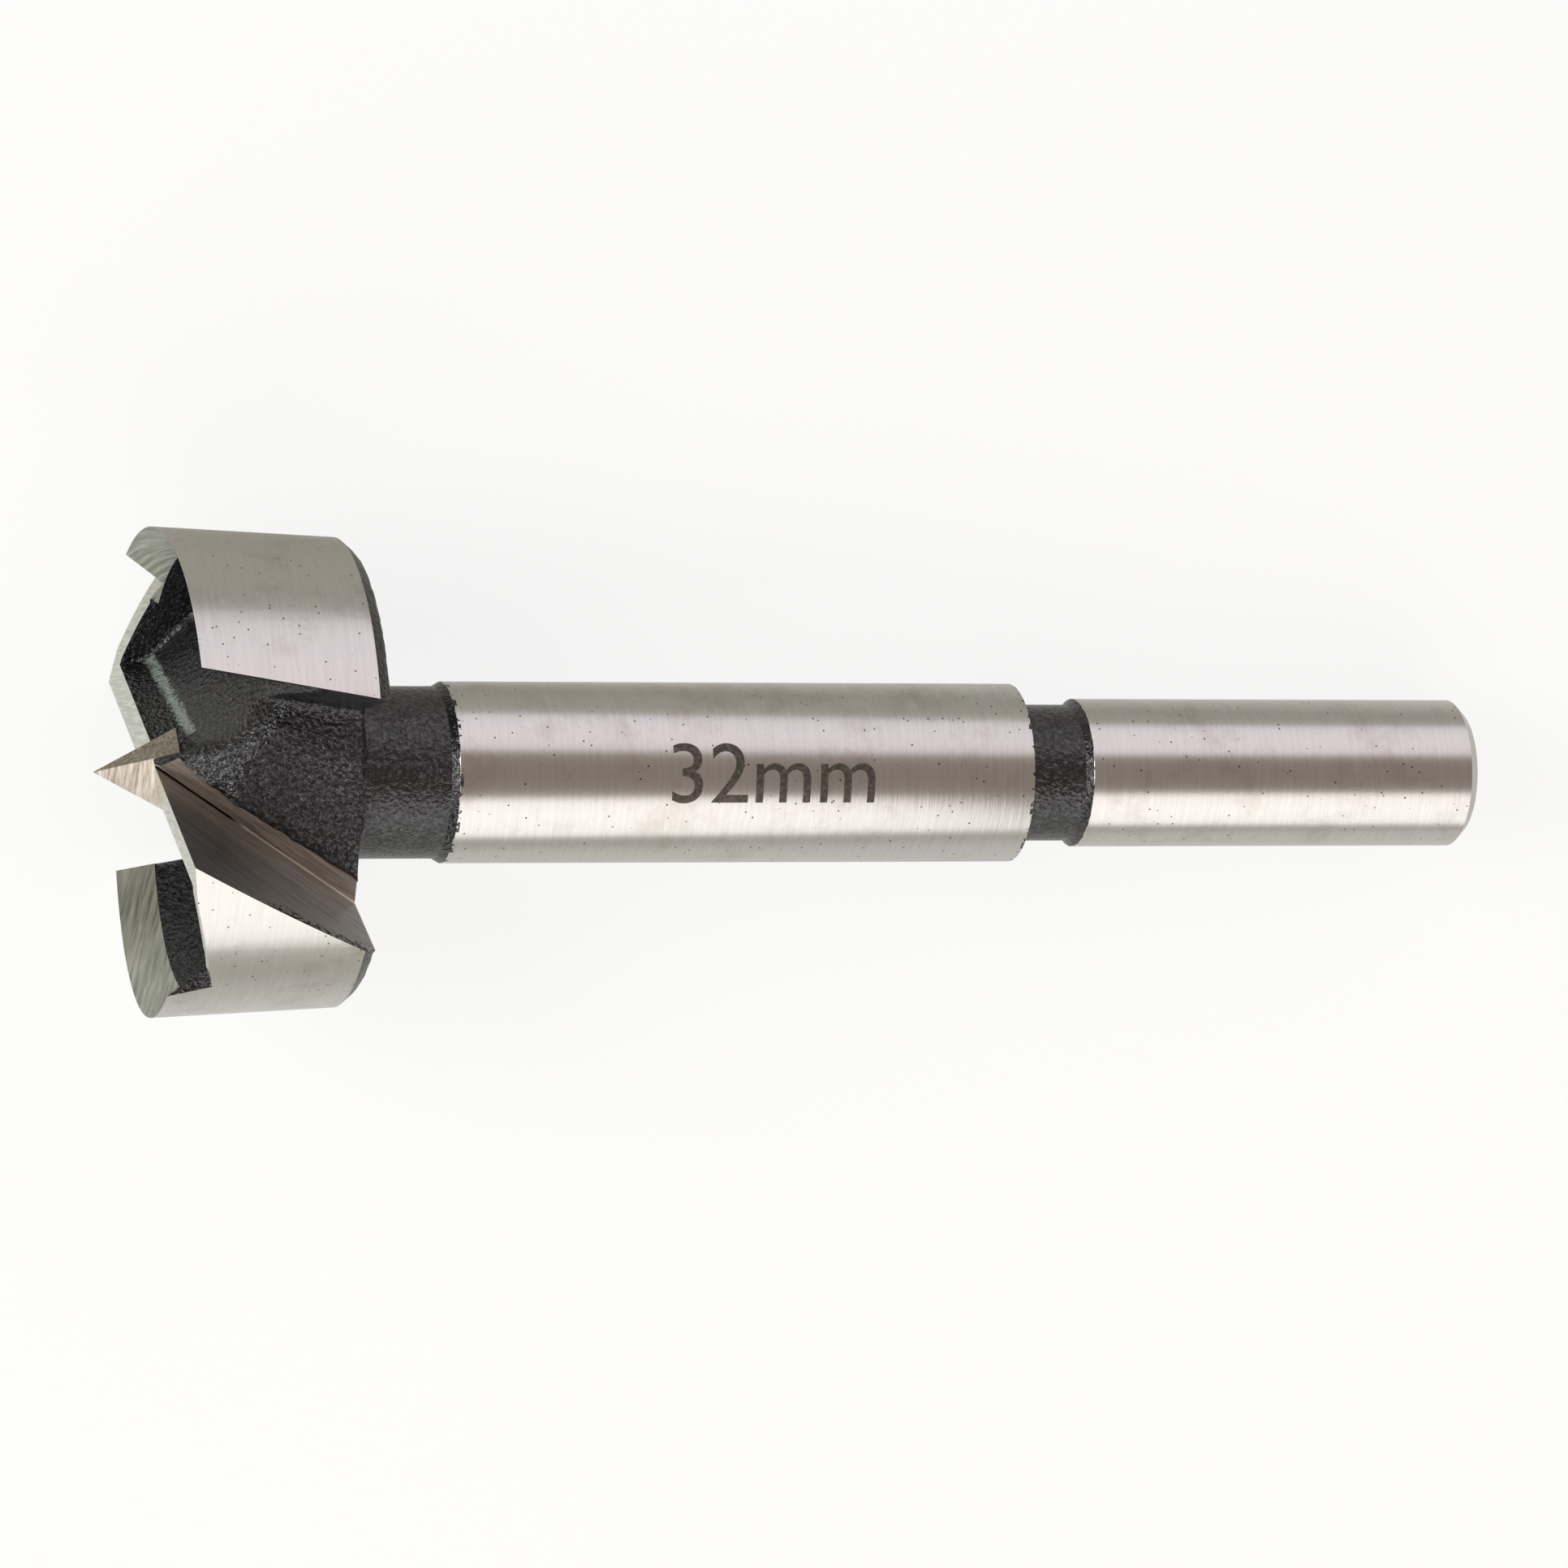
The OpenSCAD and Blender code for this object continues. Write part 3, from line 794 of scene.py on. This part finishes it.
# The view of the photograph, as a camera over the near side of the bit
camera = {
    "lens": 157.31,         # mm
    "sensor": 36.0,         # mm
    "clip": (0.01, 20.0),   # metres
    "distance": 458.5,      # mm to the point looked at
    "aimDepth": 42.85,      # mm from the rim plane back along the bit to that point
    "aimDrop": 0.77,        # mm below it
    "headTowards": 16.217,  # degrees that the head end comes towards the camera
    "nearTurn": 25.7,       # degrees from the near cutting edge to the near side
}
nearAngle = math.radians(camera["nearTurn"])
nearWay = math.cos(nearAngle) * edgeWay + math.sin(nearAngle) * cutWay
topWay = -math.sin(nearAngle) * edgeWay + math.cos(nearAngle) * cutWay


# The size mark on the body, burnt on as a thin dark film that follows the round of the steel
sizeMark = {
    "words": "32mm",
    "letterSize": 5.75,     # mm, which gives figures about 4 mm tall
    "depth": 40.45,         # mm from the rim plane back to the mark's middle
    "turn": -2.9,           # degrees round the body from its near side
    "film": 0.03,           # mm thick, most of it in the steel
    "proud": 0.012,         # mm of it that stand out
    "cuts": 3,              # times that the flat words are divided so that they bend
    "burnt": "#4b4642",
    "thinAndLit": "#726a62",
    "thinAndLitRange": (0.45, 0.75),
    "grain": 0.25,          # mm
    "metal": 0.6,
    "roughness": 0.5,
}


# Laser-burnt oxide on ground steel: a dark brown-grey film, uneven where the beam's passes thin out
def makeBurntOxide():
    look = sizeMark
    material, tree = newMaterial("laserBurntOxide")
    place = alongBit(tree)
    grain = addNode(tree, "ShaderNodeTexNoise", {
        "Vector": place, "Scale": 1 / look["grain"], "Detail": 3.0, "Roughness": 0.6,
    })
    thinAndLit = addNode(tree, "ShaderNodeMapRange", {
        "Value": grain.outputs["Fac"], "From Min": look["thinAndLitRange"][0], "From Max": look["thinAndLitRange"][1],
    })
    colour = addNode(tree, "ShaderNodeMix", {
        0: thinAndLit.outputs["Result"], 6: linear(look["burnt"]), 7: linear(look["thinAndLit"]),
    }, data_type="RGBA")
    shader = addNode(tree, "ShaderNodeBsdfPrincipled", {
        "Base Color": colour.outputs[2], "Metallic": look["metal"], "Roughness": look["roughness"],
    })
    endMaterial(tree, shader)
    return material


def makeMarkTree():
    tree = bpy.data.node_groups.new("sizeMark", "GeometryNodeTree")
    for name, kind in (
        ("Words", "NodeSocketString"),
        ("Letter Size", "NodeSocketFloat"),
        ("Body Radius", "NodeSocketFloat"),
        ("Film", "NodeSocketFloat"),
        ("Place", "NodeSocketVector"),
        ("Turn", "NodeSocketRotation"),
        ("Finish", "NodeSocketMaterial"),
    ):
        tree.interface.new_socket(name, in_out="INPUT", socket_type=kind)
    tree.interface.new_socket("Mark", in_out="OUTPUT", socket_type="NodeSocketGeometry")
    sizes = addNode(tree, "NodeGroupInput").outputs
    letters = addNode(tree, "GeometryNodeStringToCurves", {
        "String": sizes["Words"], "Size": sizes["Letter Size"],
    }, align_x="CENTER", align_y="MIDDLE")
    outline = addNode(tree, "GeometryNodeRealizeInstances", {
        "Geometry": letters.outputs["Curve Instances"],
    })
    sheet = addNode(tree, "GeometryNodeFillCurve", {"Curve": outline.outputs["Geometry"]})
    fine = addNode(tree, "GeometryNodeSubdivideMesh", {
        "Mesh": sheet.outputs["Mesh"], "Level": sizeMark["cuts"],
    })
    # The flat words become a closed film, whose height is then a radius and whose width is an arc
    top = addNode(tree, "GeometryNodeExtrudeMesh", {
        "Mesh": fine.outputs["Mesh"], "Offset": (0, 0, 1),
        "Offset Scale": sizes["Film"], "Individual": False,
    })
    under = addNode(tree, "GeometryNodeFlipFaces", {"Mesh": fine.outputs["Mesh"]})
    both = addNode(tree, "GeometryNodeJoinGeometry", {"Geometry": top.outputs["Mesh"]})
    tree.links.new(under.outputs["Mesh"], both.inputs["Geometry"])
    closed = addNode(tree, "GeometryNodeMergeByDistance", {
        "Geometry": both.outputs["Geometry"], "Distance": micron,
    })
    flat = addNode(tree, "GeometryNodeInputPosition")
    axes = addNode(tree, "ShaderNodeSeparateXYZ", {"Vector": flat.outputs["Position"]})
    arc = addNode(tree, "ShaderNodeMath", {
        0: axes.outputs["Y"], 1: sizes["Body Radius"],
    }, operation="DIVIDE")
    radius = addNode(tree, "ShaderNodeMath", {
        0: axes.outputs["Z"], 1: sizes["Body Radius"],
    }, operation="ADD")
    rise = addNode(tree, "ShaderNodeMath", {0: arc.outputs[0]}, operation="SINE")
    stand = addNode(tree, "ShaderNodeMath", {0: arc.outputs[0]}, operation="COSINE")
    up = addNode(tree, "ShaderNodeMath", {0: radius.outputs[0], 1: rise.outputs[0]}, operation="MULTIPLY")
    out = addNode(tree, "ShaderNodeMath", {0: radius.outputs[0], 1: stand.outputs[0]}, operation="MULTIPLY")
    bent = addNode(tree, "ShaderNodeCombineXYZ", {
        "X": axes.outputs["X"], "Y": up.outputs[0], "Z": out.outputs[0],
    })
    wrapped = addNode(tree, "GeometryNodeSetPosition", {
        "Geometry": closed.outputs["Geometry"], "Position": bent.outputs["Vector"],
    })
    placed = addNode(tree, "GeometryNodeTransform", {
        "Geometry": wrapped.outputs["Geometry"], "Translation": sizes["Place"], "Rotation": sizes["Turn"],
    })
    whole = addNode(tree, "GeometryNodeRealizeInstances", {"Geometry": placed.outputs["Geometry"]})
    dressed = addNode(tree, "GeometryNodeSetMaterial", {
        "Geometry": whole.outputs["Geometry"], "Material": sizes["Finish"],
    })
    addNode(tree, "NodeGroupOutput", {"Mark": dressed.outputs["Geometry"]})
    return tree


def makeSizeMark():
    look = sizeMark
    tree = makeMarkTree()
    holder = bpy.data.objects.new("sizeMarkWords", bpy.data.meshes.new("sizeMarkWords"))
    bpy.context.scene.collection.objects.link(holder)
    nodes = holder.modifiers.new("sizeMark", "NODES")
    nodes.node_group = tree
    around = Matrix.Rotation(math.radians(-look["turn"]), 3, "X")
    turn = Matrix((shankWay, topWay, nearWay)).transposed() @ around
    values = {
        "Words": look["words"],
        "Letter Size": look["letterSize"] * mm,
        "Body Radius": (bit["bodyRadius"] + look["proud"] - look["film"]) * mm,
        "Film": look["film"] * mm,
        "Place": rimCentre + shankWay * look["depth"] * mm,
        "Turn": turn.to_euler(),
        "Finish": makeBurntOxide(),
    }
    for item in tree.interface.items_tree:
        if item.in_out == "INPUT":
            nodes[item.identifier] = values[item.name]
    seen = holder.evaluated_get(bpy.context.evaluated_depsgraph_get())
    mesh = bpy.data.meshes.new_from_object(seen)
    mesh.name = "sizeMark"
    holder.modifiers.remove(nodes)
    bpy.data.objects.remove(holder)
    mark = bpy.data.objects.new("sizeMark", mesh)
    bpy.context.scene.collection.objects.link(mark)
    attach(mark, "root")
    print("size mark made with", len(mesh.polygons), "faces")


makeSizeMark()


def makeCamera():
    swing = math.radians(camera["headTowards"])
    rightWay = math.cos(swing) * shankWay + math.sin(swing) * nearWay
    backWay = rightWay.cross(topWay)
    aim = rimCentre + shankWay * camera["aimDepth"] * mm - topWay * camera["aimDrop"] * mm
    lens = bpy.data.cameras.new("camera")
    lens.sensor_width = camera["sensor"]
    lens.lens = camera["lens"]
    lens.clip_start, lens.clip_end = camera["clip"]
    eye = bpy.data.objects.new("camera", lens)
    matrix = Matrix.Identity(4)
    matrix.col[0][:3] = rightWay
    matrix.col[1][:3] = topWay
    matrix.col[2][:3] = backWay
    matrix.col[3][:3] = aim + backWay * camera["distance"] * mm
    eye.matrix_world = matrix
    bpy.context.scene.collection.objects.link(eye)
    bpy.context.scene.camera = eye
    print("camera set")


makeCamera()

# Studio: a pale sweep under and round the bit, and softboxes that stand round it on a dome
studio = {
    "floorRadius": 0.8,     # metres, as are the next two
    "wallRadius": 1.0,
    "wallHeight": 0.45,
    "bendSteps": 8,         # facets in the bend between floor and wall
    "turns": 64,            # facets round the sweep
    "floorColour": "#b6b7ad",
    "paperColour": "#f8f8f5",   # the sweep as the camera sees it
    "whiteShare": 0.82,     # how much of that is plain white, which leaves a soft shadow
    "shinyFar": 0.06,       # the same share where the steel mirrors the sweep, away from the bit
    "shinyNear": 0.55,      # and close beside it, a painted glow that brightens the steel's reflection where the bit's shadow falls
    "nearFade": (-0.09, -0.03, 0.006, 0.02),   # metres across, where that begins and ends
    "room": "#9c9188",
    "boxDistance": 0.6,     # metres
}
softboxes = {
    "warmSoftbox": {
        "turn": -90.0, "from": 27.0, "to": 85.0, "along": 0.0, "width": 1.1,
        "power": 3.3, "colour": "#ffffff",
    },
    "coolSoftbox": {
        "turn": 90.0, "from": 35.0, "to": 88.0, "along": 0.4, "width": 0.9,
        "power": 1.6, "colour": "#f6f1ff",
    },
    "tipSoftbox": {
        "turn": 172.0, "from": 36.0, "to": 70.0, "along": 0.0, "width": 0.35,
        "power": 1.9, "colour": "#ffffff",
    },
}


def makeSweep():
    look = studio
    material, tree = newMaterial("paleSweepPaper")
    path = addNode(tree, "ShaderNodeLightPath")
    shiny = addNode(tree, "ShaderNodeMath", {
        0: path.outputs["Is Glossy Ray"], 1: path.outputs["Is Transmission Ray"],
    }, operation="MAXIMUM")
    place = addNode(tree, "ShaderNodeTexCoord")
    axes = addNode(tree, "ShaderNodeSeparateXYZ", {"Vector": place.outputs["Object"]})
    # Beside the bit the sweep glows more in the steel's reflections: painted light against the bit's own
    # shadow
    fadeIn, fullFrom, fullTo, fadeOut = look["nearFade"]
    rise = addNode(tree, "ShaderNodeMapRange", {
        "Value": axes.outputs["Y"], "From Min": fadeIn, "From Max": fullFrom,
        "To Min": look["shinyFar"], "To Max": look["shinyNear"],
    })
    fall = addNode(tree, "ShaderNodeMapRange", {
        "Value": axes.outputs["Y"], "From Min": fadeOut, "From Max": fullTo,
        "To Min": look["shinyFar"], "To Max": look["shinyNear"],
    })
    shinyShare = addNode(tree, "ShaderNodeMath", {
        0: rise.outputs["Result"], 1: fall.outputs["Result"],
    }, operation="MINIMUM")
    shinyPart = addNode(tree, "ShaderNodeMath", {
        0: shiny.outputs[0], 1: shinyShare.outputs[0],
    }, operation="MULTIPLY")
    white = addNode(tree, "ShaderNodeMath", {
        0: path.outputs["Is Camera Ray"], 1: look["whiteShare"], 2: shinyPart.outputs[0],
    }, operation="MULTIPLY_ADD")
    tone = addNode(tree, "ShaderNodeMix", {
        0: path.outputs["Is Camera Ray"], 6: linear(look["floorColour"]), 7: linear(look["paperColour"]),
    }, data_type="RGBA")
    paper = addNode(tree, "ShaderNodeBsdfDiffuse", {"Color": tone.outputs[2]})
    glow = addNode(tree, "ShaderNodeEmission", {"Color": (1, 1, 1, 1), "Strength": 1.0})
    both = addNode(tree, "ShaderNodeMixShader", {
        0: white.outputs[0], 1: paper.outputs["BSDF"], 2: glow.outputs["Emission"],
    })
    addNode(tree, "ShaderNodeOutputMaterial", {"Surface": both.outputs["Shader"]})

    bend = look["wallRadius"] - look["floorRadius"]
    outline = [(0.0, 0.0), (look["floorRadius"], 0.0)]
    for i in range(1, look["bendSteps"] + 1):
        turn = math.radians(90 * i / look["bendSteps"])
        outline.append((look["floorRadius"] + bend * math.sin(turn), bend * (1 - math.cos(turn))))
    outline.append((look["wallRadius"], look["wallHeight"]))
    sweep = bmesh.new()
    for face in addLathe(sweep, outline, look["turns"]):
        face.smooth = True
    bmesh.ops.recalc_face_normals(sweep, faces=sweep.faces)
    mesh = bpy.data.meshes.new("sweep")
    sweep.to_mesh(mesh)
    sweep.free()
    mesh.materials.append(material)
    floor = bpy.data.objects.new("sweep", mesh)
    bpy.context.scene.collection.objects.link(floor)


# A softbox's turn is round the bit from its shank end, and its two angles are down from straight above
def makeSoftbox(name, look):
    turn = math.radians(look["turn"])
    lean = math.radians((look["from"] + look["to"]) / 2)
    spread = math.radians((look["to"] - look["from"]) / 2)
    way = Vector((math.cos(turn) * math.sin(lean), math.sin(turn) * math.sin(lean), math.cos(lean)))
    lamp = bpy.data.lights.new(name, "AREA")
    lamp.shape = "RECTANGLE"
    lamp.size = look["width"]
    lamp.size_y = 2 * studio["boxDistance"] * math.tan(spread)
    lamp.energy = look["power"]
    lamp.color = linear(look["colour"])[:3]
    box = bpy.data.objects.new(name, lamp)
    box.location = way * studio["boxDistance"] + Vector((look["along"], 0, 0))
    box.rotation_mode = "QUATERNION"
    box.rotation_quaternion = way.to_track_quat("Z", "Y")
    box.visible_camera = False
    bpy.context.scene.collection.objects.link(box)


def makeStudio():
    makeSweep()
    for name, look in softboxes.items():
        makeSoftbox(name, look)
    world = bpy.data.worlds.new("room")
    world.use_nodes = True
    tree = world.node_tree
    tree.nodes.clear()
    room = addNode(tree, "ShaderNodeBackground", {"Color": linear(studio["room"]), "Strength": 1.0})
    addNode(tree, "ShaderNodeOutputWorld", {"Surface": room.outputs["Background"]})
    bpy.context.scene.world = world
    bpy.context.scene.view_settings.view_transform = "Standard"
    print("studio lit")


makeStudio()
